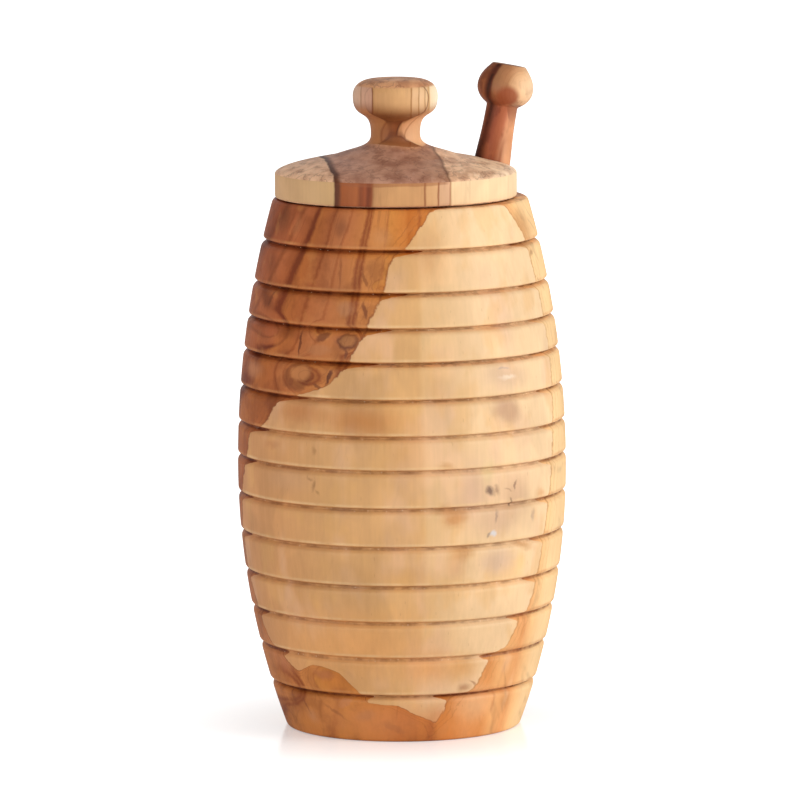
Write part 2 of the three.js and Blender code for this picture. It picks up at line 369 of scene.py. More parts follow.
# Marks in the skin of the pot. Each is an ellipse: its middle across from the front and up from
# the foot, half its width and half its height, all in mm, its lean in degrees, how soft its rim
# is, its colour, and how strongly it shows.
sap_marks = [
    # Broad tints: the tan band under the heart, and the orange wood towards the foot.
    (-10, 85, 17, 7, 0, 1, "#bd783a", 0.8), (-27, 86, 11, 5, 0, 1, "#b3703f", 0.7),
    (1, 79, 8, 14, 0, 1, "#d39a5c", 0.4), (8, 95, 7, 12, 0, 1, "#d7a269", 0.4),
    (8, 126, 8, 12, 0, 1, "#d39f6c", 0.7), (-30, 68, 12, 5, 0, 1, "#c49672", 0.4),
    (-2, 44, 16, 5, 0, 1, "#d19a5a", 0.4), (8, 20, 13, 7, 0, 1, "#d08d4f", 0.6),
    (-14, 26, 34, 14, 0, 1, "#e2a060", 0.7), (10, 6, 14, 7, 0, 1, "#c58552", 0.8),
    # The greyish clouds on the right, with tan streaks and small knots.
    (28, 86, 6.5, 4.6, 0, 0.7, "#bb906e", 0.75), (28, 95, 11, 5, 0, 0.9, "#c8a586", 0.7),
    (17, 66, 7, 14, 0, 1, "#cfa488", 0.65), (30, 64, 8, 9, 0, 0.9, "#c9a17e", 0.75),
    (24.5, 57.5, 9, 6, 0, 0.9, "#cba383", 0.7), (25.5, 47, 8, 5, 0, 0.9, "#c7a48a", 0.7),
    (22, 70.5, 3, 5, 0, 1, "#dcc08a", 0.6), (40, 63.5, 3.5, 2.5, 20, 1, "#cf9058", 0.6),
    (11, 72.8, 3.4, 2, 10, 1, "#b9814a", 0.6), (10.5, 62, 5, 2.4, 0, 1, "#b98048", 0.6),
    (13, 59.6, 5, 3.8, -20, 0.9, "#bf8044", 0.75), (15, 50, 5.4, 3.4, -15, 0.9, "#c38a50", 0.7),
    (13.4, 46.4, 4.6, 4.4, 0, 1, "#cf9c70", 0.65), (34, 50.6, 6, 1.6, 12, 1, "#b9814c", 0.6),
    # Small stains, pinholes, pale chips and cracks, and the last tints near the foot.
    (22.4, 65.4, 1.5, 2.1, -15, 0.8, "#5d4038", 0.8), (24.2, 65.6, 1, 2, -10, 0.9, "#6e4630", 0.5),
    (30, 66.4, 0.6, 1.7, 12, 0.7, "#6b4632", 0.6), (27.6, 65.2, 1.8, 0.4, 15, 0.8, "#8a6242", 0.4),
    (28.6, 62.2, 0.5, 1.6, -25, 0.7, "#55331e", 0.7), (24.2, 58.6, 0.6, 2.4, 6, 0.9, "#84695c", 0.5),
    (23.4, 54.4, 1.3, 1.2, 0, 0.8, "#cfcdcf", 0.8), (22.2, 54.2, 0.5, 1.2, 30, 0.7, "#6f6058", 0.5),
    (36.5, 58.5, 1, 2.6, 5, 0.8, "#a58573", 0.5), (-22.4, 76.2, 0.9, 1.5, 0, 0.9, "#8a5c36", 0.4),
    (-22.3, 67.2, 0.7, 2.3, 14, 1, "#7a5230", 0.5), (-23.4, 68.8, 1.2, 0.6, 20, 1, "#7a5230", 0.4),
    (-21.2, 65.6, 1.1, 0.6, 30, 1, "#7a5230", 0.4), (-36, 77, 4, 2, 0, 1, "#b1714a", 0.5),
    (17, 20, 9, 6, 0, 1, "#d0975a", 0.8), (18.8, 14.6, 3, 1.5, 0, 1, "#9a5f38", 0.6),
    (14.6, 12, 1.4, 1.6, 0, 0.9, "#8a5230", 0.5), (27, 96.5, 3, 0.4, 0, 0.8, "#b89a86", 0.7),
    (28.5, 94.4, 4, 0.9, -6, 1, "#efdcc3", 0.5), (33, 46, 3, 5, 0, 0.9, "#e6b97c", 0.7),
    (21.6, 15.6, 2.2, 0.5, 35, 0.8, "#96603a", 0.6),
]
heart_marks = [
    # Sooty streaks on the left, below the rim.
    (-43, 134, 6, 6, 0, 1, "#74401f", 0.6), (-18, 133.5, 3.4, 4, 10, 0.9, "#7f4322", 0.55),
    (-44.5, 113.6, 5.5, 3.2, 30, 0.8, "#6f3212", 0.75), (-45, 123, 5, 5, 0, 1, "#7c3c1c", 0.6),
    (-42, 114, 0.7, 3, 30, 0.5, "#6b3417", 0.6), (-9.4, 112.8, 0.8, 2.8, -18, 0.5, "#6f3415", 0.7),
    (-9.6, 120.6, 0.7, 2.6, -24, 0.5, "#8f4f22", 0.7), (-15, 113, 3.5, 2.6, 0, 0.7, "#b27850", 0.55),
    # The knots on the left, each a dark ring round a brown eye.
    (-34.5, 103.5, 5.2, 2.9, 0, 0.5, "#b0622c", 0.65), (-28.3, 103.4, 0.6, 4, 3, 0.5, "#5f2b10", 0.75),
    (-22, 102, 4.8, 2, -8, 0.6, "#ba7748", 0.7), (-21, 105.4, 3.2, 1.3, -28, 0.5, "#6d3213", 0.75),
    (-13.9, 104.8, 3.7, 2.5, 0, 0.35, "#5a270c", 0.75), (-13.8, 105, 2.9, 1.9, 0, 0.5, "#ac6c38", 0.9),
    (-14.3, 101.6, 0.6, 1.6, 0, 0.5, "#6b3315", 0.7), (-28.5, 95, 5.6, 4.2, -10, 0.3, "#6c3216", 0.6),
    (-27.6, 96, 4.2, 2.6, -8, 0.5, "#bd7844", 0.9), (-30.4, 93.6, 1, 1.4, 20, 0.6, "#7d4020", 0.6),
    (-18.7, 95.4, 0.75, 2.8, 24, 0.5, "#552210", 0.8), (-21.5, 92.4, 3, 0.7, 18, 0.5, "#602a12", 0.6),
    (-38, 88, 3.4, 3.4, 0, 0.8, "#7c3c1c", 0.6),
    # The brown wood round the foot, with cracks and pale tongues.
    (-22, 22.6, 4.4, 1, -6, 0.4, "#7a431f", 0.8), (-24.5, 18, 4.5, 2, 0, 0.8, "#b0683f", 0.6),
    (-21, 13, 4, 3, 0, 0.8, "#a9602f", 0.5), (-34.5, 8.6, 0.7, 3.6, -24, 0.9, "#7c4220", 0.6),
    (-41, 11, 0.8, 4, -28, 0.9, "#7c4220", 0.6), (-18.8, 10.4, 3.2, 1.4, -25, 0.5, "#c07c50", 0.6),
    (-22.5, 7.6, 0.7, 6, -62, 0.9, "#7c4220", 0.55), (-4, 4, 5, 1.4, 20, 0.6, "#8c4a1f", 0.6),
    (-41, 19, 3, 4, 0, 0.8, "#b0643f", 0.5), (-39, 9, 6, 5, 0, 0.9, "#8a4a26", 0.5),
    (44, 130, 0.6, 5, -20, 0.7, "#93602f", 0.7), (47, 125, 1.6, 1.2, 0, 0.8, "#8a5a30", 0.6),
    (26, 18.5, 1, 5, 12, 1, "#c07a40", 0.5), (33, 19, 1.2, 5, 14, 1, "#c27b42", 0.5),
    (38, 27, 1.4, 5, 14, 1, "#c88347", 0.5), (-8, 5, 30, 11, 0, 1, "#cb8250", 0.55),
    (-39, 20, 8, 5, 0, 1, "#bd7a4e", 0.65), (-47, 22, 9, 7, 0, 1, "#c27c50", 0.6),
    # The wood at the rim and between the knots.
    (42, 131, 14, 8, 0, 0.8, "#c4905c", 0.9), (-33.6, 105.9, 5, 2.6, 0, 0.8, "#84400f", 0.8),
    (-38.5, 134, 1, 4.6, 24, 0.9, "#8a4520", 0.6), (-31.6, 124.5, 2, 5.5, 20, 0.9, "#783512", 0.55),
    (-17, 122, 0.7, 7, 2, 0.8, "#8a4920", 0.5), (-47, 95.5, 7, 3.6, 0, 0.9, "#c27e52", 0.75),
    (-5, 131.5, 5, 4, 0, 1, "#cd8e58", 0.5), (-35.5, 132.5, 2.6, 4, 20, 1, "#b26e42", 0.5),
    # Pale streaks at the right of the foot.
    (24, 10, 11, 7, 0, 0.9, "#e5ad7a", 0.75), (37, 12, 1.6, 7, 10, 0.9, "#e9b583", 0.6),
    (31, 11, 1.2, 6, 8, 0.9, "#c98552", 0.6), (33.5, 20, 2.6, 5, 12, 0.9, "#eab483", 0.7),
    (-33, 6, 4, 3, 0, 0.9, "#bf8256", 0.6), (-13, 7, 5, 2.4, -12, 0.8, "#bb7a4c", 0.6),
]


def mark(tree, under, place, across, up, half_width, half_height, lean, softness, tint, amount):
    """Stains an ellipse of the skin, as the lists of marks describe it."""
    local = add(
        tree, "Mapping",
        {"Vector": place, "Location": (across, 0, up), "Rotation": (0, math.radians(lean), 0),
         "Scale": (half_width, 1, half_height)},
        vector_type="TEXTURE")
    away = add(tree, "VectorMath", {0: local}, operation="LENGTH")
    stain = add(tree, "MapRange", {0: away, 1: 1 - softness, 2: 1, 3: amount, 4: 0}, **smoothly)
    return add(tree, "Mix", {0: stain, 6: under, 7: tint}, **in_colour)


def edge_by_height(tree, height, places):
    """The angle, in radians, at which one side of the window stands at a height in mm. The curve
    goes from 0 at 90 degrees on the left to 1 at 90 degrees on the right."""
    share = add(tree, "Math", {0: height, 1: pot_height}, operation="DIVIDE")
    turn = add(tree, "FloatCurve", {"Value": share}, curve_points=[
        (place / pot_height, 0.5 + angle / 180) for place, angle in places])
    return add(
        tree, "MapRange", {0: turn, 1: 0, 2: 1, 3: -math.pi / 2, 4: math.pi / 2}, clamp=False)


# Angles on the skin are turned into mm at this radius, between the belly's and the rim's.
skin_radius = 40
window_corner = 0.05
nearly_level = 0.8
heart_root = (-23.5, 0, 12.8)
streaks_from = 136.5
# Each knot: a place in mm, whose depth counts little, how far it reaches, and how far it pushes
# the rings aside. A knot is wider than it is high.
knots = [
    ((-26, -6, 95.5), 9, 7), ((-13, -7.5, 105), 6, -6), ((-21, -6.5, 107), 4.5, 5),
    ((-5, -7.5, 119), 3.5, 4), ((-33, -4, 106), 8, -6), ((-19, -6, 17), 9, 4),
    ((-30, -4, 12), 8, -3), ((10, 7, 90), 11, 8), ((-16, 7, 45), 12, -9),
]
knot_squash = 1.35


def pot_figure(tree, point):
    """Brown heartwood with a window of pale sapwood where the barrel bulges out through the
    heart's skin. A groove cuts back under the sapwood, so near the window's edge it is brown."""
    x, y, z = add(tree, "SeparateXYZ", {0: point}).outputs
    toward = add(tree, "Math", {0: y, 1: -1}, operation="MULTIPLY")
    angle = add(tree, "Math", {0: x, 1: toward}, operation="ARCTAN2")
    arc = add(tree, "Math", {0: angle, 1: skin_radius}, operation="MULTIPLY")
    skin = add(tree, "CombineXYZ", {"X": arc, "Z": z})
    depth = add(tree, "Attribute", attribute_name="below_skin").outputs["Fac"]

    # How far a point is inside the window, in mm. Its edge is nicked, and a tongue of heartwood
    # reaches into it near the foot.
    left_edge = edge_by_height(tree, z, pale_from)
    from_left = add(tree, "Math", {0: angle, 1: left_edge}, operation="SUBTRACT")
    right_edge = edge_by_height(tree, z, pale_to)
    from_right = add(tree, "Math", {0: right_edge, 1: angle}, operation="SUBTRACT")
    inside = add(tree, "Math", {0: from_left, 1: from_right, 2: window_corner}, operation="SMOOTH_MIN")
    inside_mm = add(tree, "Math", {0: inside, 1: skin_radius}, operation="MULTIPLY")
    nick = add(tree, "Math", {0: noise(tree, skin, 1.6, 3), 1: noise_middle}, operation="SUBTRACT")
    nicked = add(tree, "Math", {0: nick, 1: 2.2, 2: inside_mm}, operation="MULTIPLY_ADD")
    to_root = add(tree, "VectorMath", {0: skin, 1: heart_root}, operation="DISTANCE")
    root = add(tree, "MapRange", {0: to_root, 1: 4, 2: 12.5, 3: 22, 4: 0}, **smoothly)
    rooted = add(tree, "Math", {0: nicked, 1: root}, operation="SUBTRACT")
    cover = add(tree, "Math", {0: rooted, 1: 0.25}, operation="MULTIPLY")
    sap_left = add(tree, "Math", {0: cover, 1: depth}, operation="SUBTRACT")
    blur = add(tree, "MapRange", {0: z, 1: 5, 2: 12, 3: 0.22, 4: 0.06}, **smoothly)
    blur_from = add(tree, "Math", {0: blur, 1: -1}, operation="MULTIPLY")
    in_sap = add(tree, "MapRange", {0: sap_left, 1: blur_from, 2: blur}, **smoothly)

    # Heart: streaks fan out downwards from the rim, and bend round the knots.
    down = add(tree, "Math", {0: z, 1: streaks_from}, operation="SUBTRACT")
    leant = add(tree, "Math", {0: down, 1: -0.07, 2: x}, operation="MULTIPLY_ADD")
    fan = add(tree, "Math", {0: down, 1: -0.017, 2: 1}, operation="MULTIPLY_ADD")
    ring = add(tree, "Math", {0: leant, 1: fan}, operation="DIVIDE")
    behind = add(tree, "Math", {0: y, 1: 0}, operation="MAXIMUM")
    ring = add(tree, "Math", {0: behind, 1: 0.4, 2: ring}, operation="MULTIPLY_ADD")
    flat = add(tree, "VectorMath", {0: point, 1: (1, 0.2, knot_squash)}, operation="MULTIPLY")
    for (across, back, up), reach, push in knots:
        centre = (across, back, up * knot_squash)
        away = add(tree, "VectorMath", {0: flat, 1: centre}, operation="DISTANCE")
        bend = add(tree, "MapRange", {0: away, 1: 0, 2: reach, 3: push, 4: 0}, **smoothly)
        ring = add(tree, "Math", {0: ring, 1: bend}, operation="ADD")
    jag = add(tree, "Math", {0: noise(tree, skin, 1.2, 3), 1: noise_middle}, operation="SUBTRACT")
    jagged = add(tree, "Math", {0: jag, 1: 0.9, 2: ring}, operation="MULTIPLY_ADD")
    brown = ramp_over(tree, jagged, -36, 14, [
        (-36, "#a2522c"), (-31, "#964921"), (-29.6, "#833b16"), (-28.6, "#a4542c"),
        (-25.5, "#ab5b31"), (-24.9, "#914a22"), (-24.2, "#ae5f33"), (-22.2, "#a8592c"),
        (-21.2, "#7a3310"), (-20.6, "#78310e"), (-19.8, "#b0622a"), (-16.8, "#ac5e2d"),
        (-16.2, "#93481a"), (-15.7, "#b36533"), (-13, "#ba6e3b"), (-12.5, "#a65a2a"),
        (-12, "#b96c38"), (-8.6, "#bf7438"), (-7.8, "#8f4415"), (-7.3, "#a9602a"),
        (-6.9, "#8f4415"), (-6.2, "#c77c3d"), (-3, "#c87e3e"), (-2.6, "#b56c33"), (-2, "#c98039"),
        (1.6, "#c47531"), (2.4, "#b96724"), (4.4, "#c16f2a"), (5, "#a85a22"), (5.6, "#c2722e"),
        (9, "#c47531"), (14, "#bb6b2c"),
    ])
    sooty = add(tree, "MapRange", {0: noise(tree, point, 7, 5), 1: 0.46, 2: 0.66}, **smoothly)
    soot = add(tree, "Math", {0: sooty, 1: 0.35}, operation="MULTIPLY")
    dark = add(tree, "Mix", {0: soot, 6: brown, 7: "#7a3a14"}, **in_colour)
    bright_noise = noise(tree, skin, 8, 3)
    bright = add(tree, "MapRange", {0: bright_noise, 1: 0.55, 2: 0.7, 3: 0, 4: 0.5}, **smoothly)
    warmed = add(tree, "Mix", {0: bright, 6: dark, 7: "#c27a3e"}, **in_colour)
    to_right = add(tree, "MapRange", {0: x, 1: 6, 2: 24}, **smoothly)
    right = ramp_over(tree, arc, 10, 76, [
        (10, "#cf8a4c"), (20, "#e09d63"), (27, "#d28c4e"), (31, "#e2a669"), (38, "#dc9a5f"),
        (42, "#ebb87d"), (47, "#edc48e"), (51, "#ecc48d"), (60, "#e6b87c"), (76, "#b87643"),
    ])
    heart = add(tree, "Mix", {0: to_right, 6: warmed, 7: right}, **in_colour)

    # Sapwood: tan near the heart on the left and paler towards the right, partly the wood and partly
    # a painted sheen from the lamp on the right, with orange and rosy clouds.
    sap = ramp_over(tree, arc, -55, 48, [
        (-55, "#cb8e5c"), (-34, "#cc935f"), (-20, "#ce9a64"), (-8, "#d09e68"), (4.8, "#d3a36c"),
        (6.2, "#dab07d"), (11, "#dab180"), (19, "#e1bb8d"), (48, "#e8c599"),
    ])
    rosy_noise = noise(tree, point, 13, 3, (1, 1, 0.5))
    rosy = add(tree, "MapRange", {0: rosy_noise, 1: 0.48, 2: 0.66, 3: 0, 4: 0.4}, **smoothly)
    blushed = add(tree, "Mix", {0: rosy, 6: sap, 7: "#dcaf8e"}, **in_colour)
    golden_noise = noise(tree, skin, 11, 3, (1, 1, 0.7))
    golden = add(tree, "MapRange", {0: golden_noise, 1: 0.5, 2: 0.64, 3: 0, 4: 0.35}, **smoothly)
    sap = add(tree, "Mix", {0: golden, 6: blushed, 7: "#d9a463"}, **in_colour)

    # The marks get ragged rims, those in the sapwood the more so.
    rough_skin = stir(tree, skin, 1.8, 3, (1.6, 0, 1.6))
    rougher_skin = stir(tree, rough_skin, 5, 2, (1.2, 0, 1.2))
    for spot in sap_marks:
        sap = mark(tree, sap, rougher_skin, *spot)
    for spot in heart_marks:
        heart = mark(tree, heart, rough_skin, *spot)

    # A thin brown line runs along the window's edge, with two fainter ones beside it in the heart.
    both = add(tree, "Mix", {0: in_sap, 6: heart, 7: sap}, **in_colour)
    edge_line = ramp_over(tree, rooted, -6, 1, [
        (-6, "#000000"), (-4.4, "#000000"), (-4.1, "#b0b0b0"), (-3.8, "#000000"), (-2.3, "#000000"),
        (-2.0, "#b0b0b0"), (-1.7, "#000000"), (-0.6, "#303030"), (-0.1, "#ffffff"), (0.35, "#000000"),
    ])
    edge_noise = noise(tree, skin, 5, 3)
    edge_breaks = add(tree, "MapRange", {0: edge_noise, 1: 0.3, 2: 0.6, 3: 0.35, 4: 0.85}, **smoothly)
    edge_amount = add(tree, "Math", {0: edge_line, 1: edge_breaks}, operation="MULTIPLY")
    edge_tint = add(tree, "Mix", {0: to_right, 6: "#824520", 7: "#b57c45"}, **in_colour)
    edged = add(tree, "Mix", {0: edge_amount, 6: both, 7: edge_tint}, **in_colour)

    # Grooves hold a little old oil and dust, less of it in the sapwood, and pale specks of torn
    # fibre. Their deepest part is darkened by dirt and by painted shade under the lip. The lip over
    # each groove gets a painted highlight.
    groove = add(tree, "Attribute", attribute_name="groove_share").outputs["Fac"]
    on_lip = add(tree, "Attribute", attribute_name="arris").outputs["Fac"]
    # The darkening deep in a groove is partly dirt and partly painted shade under the lip.
    deep = add(tree, "MapRange", {0: groove, 1: 0.55, 2: 1.0}, **smoothly)
    most_grime_and_shade = add(tree, "MapRange", {0: in_sap, 1: 0, 2: 1, 3: 1.0, 4: 0.6}, **smoothly)
    least_grime_and_shade = add(tree, "MapRange", {0: in_sap, 1: 0, 2: 1, 3: 0.6, 4: 0.12}, **smoothly)
    grime_and_shade_noise = noise(tree, skin, 3.5, 4)
    grime_and_shade_breaks = add(
        tree, "MapRange", {0: grime_and_shade_noise, 1: 0.35, 2: 0.65, 3: least_grime_and_shade, 4: most_grime_and_shade}, **smoothly)
    grime_and_shade = add(tree, "Math", {0: deep, 1: grime_and_shade_breaks}, operation="MULTIPLY")
    grimed_and_shaded = add(tree, "Mix", {0: grime_and_shade, 6: edged, 7: "#8f6a48"}, **in_colour, blend_type="MULTIPLY")
    speck_cells = add(tree, "TexVoronoi", {"Vector": skin, "Scale": 1 / 1.1}, feature="F1")
    to_speck = speck_cells.outputs["Distance"]
    speck = add(tree, "MapRange", {0: to_speck, 1: 0.08, 2: 0.18, 3: 0.6, 4: 0}, **smoothly)
    speck_here = add(tree, "Math", {0: speck, 1: deep}, operation="MULTIPLY")
    specked = add(tree, "Mix", {0: speck_here, 6: grimed_and_shaded, 7: "#e8cfae"}, **in_colour)
    # Painted highlight: the rounded lip over each groove is lightened where it catches the light.
    lip_highlight_noise = noise(tree, skin, 6, 3)
    lip_highlight_breaks = add(tree, "MapRange", {0: lip_highlight_noise, 1: 0.35, 2: 0.65, 3: 0.15, 4: 0.6}, **smoothly)
    lip_highlight_here = add(tree, "Math", {0: on_lip, 1: lip_highlight_breaks}, operation="MULTIPLY")
    lip_highlight_tint = add(tree, "Mix", {0: in_sap, 6: "#cb8950", 7: "#e6bf8c"}, **in_colour)
    lip_highlighted = add(tree, "Mix", {0: lip_highlight_here, 6: specked, 7: lip_highlight_tint}, **in_colour)
    lines = add(tree, "MapRange", {0: in_sap, 1: 0, 2: 1, 3: 0.2, 4: 0.04}, **smoothly)
    return lip_highlighted, ring, lines, edged, nearly_level


# Each corner is told how far it lies under the barrel's skin, how deep in a groove, and whether
# it is on the lip over one, where a highlight is painted.
steps_round_pot = 160
groove_reach = 3
hair = 0.01
pot = turn_on_lathe("turned_pot", pot_profile(), steps_round_pot)
for name in ("below_skin", "groove_share", "arris"):
    pot.data.attributes.new(name, "FLOAT", "POINT")
below_skin = pot.data.attributes["below_skin"].data
groove_share = pot.data.attributes["groove_share"].data
arris = pot.data.attributes["arris"].data
for corner in pot.data.vertices:
    height = min(max(corner.co.z / MM, 0), pot_height)
    inset = barrel_radius(height) - corner.co.xy.length / MM
    below_skin[corner.index].value = inset
    for place, depth_share in zip(groove_place_shares, groove_depth_shares):
        over_groove = height - place * pot_height
        if -groove_reach < over_groove < groove_lip and inset < groove_reach:
            groove_share[corner.index].value = inset / (groove_depth * depth_share)
        # The lip over a groove is marked for a painted highlight.
        if groove_lip - hair < over_groove < groove_lip + lip_highlight_height:
            arris[corner.index].value = 1
smooth_but_keep_arrises(pot, math.radians(50))
pot.data.materials.append(olive_wood("oiled_olive_wood_of_the_pot", pot_figure))
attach(pot, "pot")
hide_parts("pot")


# The lid.
# One disc of olive wood with the knob turned from the same block, so the rings run through both.
# A shallow spigot underneath drops into the mouth, and a notch sawn through the edge lets the
# dipper's handle out.

lid_low, lid_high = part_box("lid")
lid_radius = (lid_high.y - lid_low.y) / 2 / MM
lid_wall = 6
crown_radius = 16.1
crown_height = 10.7
crown_slope = 0.353
stem_radius = 6.4
stem_bottom = 16
stem_top = 16.55
knob_radius = 11.05
knob_cheek_height = 26.1
knob_height = 30.5
knob_flat_radius = 5.4
lid_seat_gap = 0.3
lid_shift = 1.2
spigot_play = 3.95
spigot_radius = mouth_radius - spigot_play
spigot_depth = 2.6
dipper_bearing = math.radians(18)
outward = Vector((math.cos(dipper_bearing), math.sin(dipper_bearing), 0))
lid_place = outward * -lid_shift + Vector((0, 0, pot_height + lid_seat_gap))


def lid_profile():
    """From the middle of the spigot out to the rim, over the dome, and up the stem to the knob."""
    points = [Vector((0, -spigot_depth)), Vector((spigot_radius * 0.6, -spigot_depth))]
    points.append(Vector((spigot_radius - 1.2, -spigot_depth)))
    points += curve(
        points[-1], Vector((spigot_radius - 0.3, -spigot_depth)),
        Vector((spigot_radius, 0.3 - spigot_depth)), Vector((spigot_radius, 1.2 - spigot_depth)), 5)
    points += [Vector((spigot_radius, 0)), Vector((spigot_radius + 3, 0)), Vector((lid_radius - 0.7, 0))]
    points += curve(
        points[-1], Vector((lid_radius - 0.2, 0)), Vector((lid_radius, 0.2)),
        Vector((lid_radius, 0.7)), 5)
    points += [Vector((lid_radius, 0.7 + (lid_wall - 0.7) * step / 4)) for step in range(1, 5)]
    run = (crown_radius - stem_radius) * 0.6
    crown = Vector((crown_radius, crown_height))
    points += curve(
        points[-1], Vector((lid_radius, lid_wall + 2.3)),
        crown + Vector((run / 4, -run / 4 * crown_slope)), crown, 24)
    points += curve(
        points[-1], crown + Vector((-run, run * crown_slope)),
        Vector((stem_radius, crown_height + (stem_bottom - crown_height) * 0.42)),
        Vector((stem_radius, stem_bottom)), 16)
    points.append(Vector((stem_radius, stem_top)))
    flare = (knob_cheek_height - stem_top) * 0.7
    points += curve(
        points[-1], Vector((stem_radius, stem_top + flare)),
        Vector((knob_radius, knob_cheek_height - flare)),
        Vector((knob_radius, knob_cheek_height)), 20)
    crown_of_knob = knob_height - knob_cheek_height
    points += curve(
        points[-1], Vector((knob_radius, knob_cheek_height + crown_of_knob * 0.8)),
        Vector(((knob_radius + knob_flat_radius) * 0.46, knob_height)),
        Vector((knob_flat_radius, knob_height)), 12)
    points += [Vector((knob_flat_radius / 2, knob_height)), Vector((0, knob_height))]
    return points


faint_lines = 0.1


def lid_figure(tree, point):
    """The lid's block is sawn across a strip of heartwood: pale, a brown strip, and pale again."""
    local = add(tree, "VectorMath", {0: point, 1: lid_place}, operation="SUBTRACT")
    x, y, z = add(tree, "SeparateXYZ", {0: local}).outputs
    ring = add(tree, "Math", {0: y, 1: 0.15, 2: 4.7}, operation="MULTIPLY_ADD")
    ring = add(tree, "Math", {0: x, 1: ring}, operation="ADD")
    side = ramp_over(tree, ring, -32, 32, [
        (-32, "#d1a274"), (-20, "#d2a878"), (-15, "#cfa572"), (-14.5, "#5c2d14"), (-13.7, "#6e3a1d"),
        (-13, "#a25425"), (-9.4, "#a95c2c"), (-8.4, "#83401d"), (-7.4, "#9a4c24"), (-6.6, "#78371b"),
        (-5.8, "#8a4420"), (-4.9, "#c48e5c"), (0, "#c99562"), (7.3, "#c99462"), (7.6, "#8a4d28"),
        (8.1, "#cf9c6a"), (10.7, "#d3a170"), (11, "#935630"), (11.5, "#cfa078"), (14.1, "#cd9f7a"),
        (14.4, "#a0653c"), (14.9, "#e3be90"), (32, "#e9c99d"),
    ])
    # Across the knob the colours run to near white on its right: partly the wood, partly a painted
    # highlight from the lamp on that side.
    knob = ramp_over(tree, x, -11, 11, [
        (-11, "#d3ab90"), (-9.2, "#cfa386"), (-9, "#9a6a4a"), (-8.8, "#cc9d80"), (-6.3, "#c7957a"),
        (-6, "#7d4728"), (-5.6, "#c99460"), (0, "#d2a06c"), (3.9, "#d3a26f"), (4.2, "#a5713f"),
        (4.5, "#dcae7e"), (5.8, "#dcae7e"), (6, "#ad7844"), (6.3, "#e2b889"), (7.4, "#dfb283"),
        (7.6, "#b07a45"), (7.9, "#e6bf91"), (8.8, "#c9985f"), (9.1, "#f2d5ab"), (11, "#f9e6c6"),
    ])

    # On the knob one ring faces the viewer, so it draws a U under the knob's front. Inside the U,
    # down the stem, the lines bow out from the waist.
    from_waist = add(tree, "Math", {0: z, 1: stem_bottom}, operation="SUBTRACT")
    waist_square = add(tree, "Math", {0: from_waist, 1: from_waist}, operation="MULTIPLY")
    bent = add(tree, "Math", {0: waist_square, 1: -0.1, 2: x}, operation="MULTIPLY_ADD")
    under = ramp_over(tree, bent, -8, 8, [
        (-8, "#bb7c50"), (-4.2, "#b27444"), (-3.6, "#96572e"), (-3.2, "#a9683a"), (-0.8, "#94522a"),
        (0.1, "#87481f"), (0.45, "#5b2a12"), (1.0, "#c98a5a"), (2.6, "#d99d6e"), (2.9, "#b87c50"),
        (3.2, "#dba273"), (8, "#e4b283"),
    ])
    # Painted shade darkens the underside of the knob, below its cheek.
    shade = add(tree, "MapRange", {0: z, 1: 20.5, 2: 25.8, 3: 0.9, 4: 0}, **smoothly)
    shaded = add(tree, "Mix", {0: shade, 6: knob, 7: "#7c3d15"}, **in_colour)
    to_cheek = add(tree, "Math", {0: z, 1: 24}, operation="MINIMUM")
    behind_ring = add(tree, "Math", {0: to_cheek, 1: 0.2, 2: y}, operation="MULTIPLY_ADD")
    inner = add(tree, "MapRange", {0: behind_ring, 1: -2.5, 2: -2.35}, **smoothly)
    below_cheek = add(tree, "MapRange", {0: z, 1: 21.5, 2: 24.5, 3: 1, 4: 0}, **smoothly)
    inner_here = add(tree, "Math", {0: inner, 1: below_cheek}, operation="MULTIPLY")
    off_ring = add(tree, "Math", {0: behind_ring, 1: 2.4}, operation="ADD")
    off_ring_size = add(tree, "Math", {0: off_ring}, operation="ABSOLUTE")
    ring_line = add(tree, "MapRange", {0: off_ring_size, 1: 0.05, 2: 0.3, 3: 0.6, 4: 0}, **smoothly)
    from_left = add(tree, "MapRange", {0: x, 1: -9, 2: -2, 3: 0.25, 4: 1}, **smoothly)
    line_here = add(tree, "Math", {0: ring_line, 1: from_left}, operation="MULTIPLY")
    knob_side = add(tree, "Mix", {0: inner_here, 6: shaded, 7: under}, **in_colour)
    knob_lined = add(tree, "Mix", {0: line_here, 6: knob_side, 7: "#6b3619"}, **in_colour)
    on_knob = add(tree, "MapRange", {0: z, 1: 12.5, 2: 14.5}, **smoothly)

    # The strip is darker along the rim's upper edge.
    ring_size = add(tree, "Math", {0: ring}, operation="ABSOLUTE")
    on_strip = add(tree, "MapRange", {0: ring_size, 1: 12.5, 2: 14.5, 3: 0.5, 4: 0}, **smoothly)
    top_edge = add(tree, "MapRange", {0: z, 1: 5.8, 2: 6.2}, **smoothly)
    edge_here = add(tree, "Math", {0: on_strip, 1: top_edge}, operation="MULTIPLY")
    rim = add(tree, "Mix", {0: edge_here, 6: side, 7: "#97542f"}, **in_colour)
    colours = add(tree, "Mix", {0: on_knob, 6: rim, 7: knob_lined}, **in_colour)

    # End grain: the strip shows on the dome too. It starts at a steeper face under the knob.
    across = ramp_over(tree, ring, -32, 32, [
        (-32, "#f0cdab"), (-15, "#e8c4a4"), (-14.6, "#5d331d"), (-13.8, "#754a33"), (-12.8, "#c0957f"),
        (-3, "#be957f"), (5, "#b88d78"), (13.6, "#bd9478"), (14.3, "#8d6a50"), (15, "#ebc7a5"),
        (32, "#f9e4c6"),
    ])
    knob_top = add(tree, "Mix", {0: on_knob, 6: across, 7: "#d4a37a"}, **in_colour)
    under_knob = add(tree, "Math", {0: on_knob, 1: below_cheek}, operation="MULTIPLY")
    rim_or_knob = add(tree, "MapRange", {0: on_knob, 1: 0, 2: 1, 3: 0.35, 4: 0.6}, **smoothly)
    end_from = add(tree, "Math", {0: under_knob, 1: 0.35, 2: rim_or_knob}, operation="MULTIPLY_ADD")
    return colours, ring, faint_lines, knob_top, end_from


lid = turn_on_lathe(
    "turned_lid", lid_profile(), steps_round_pot, Matrix.Translation(lid_place * MM))

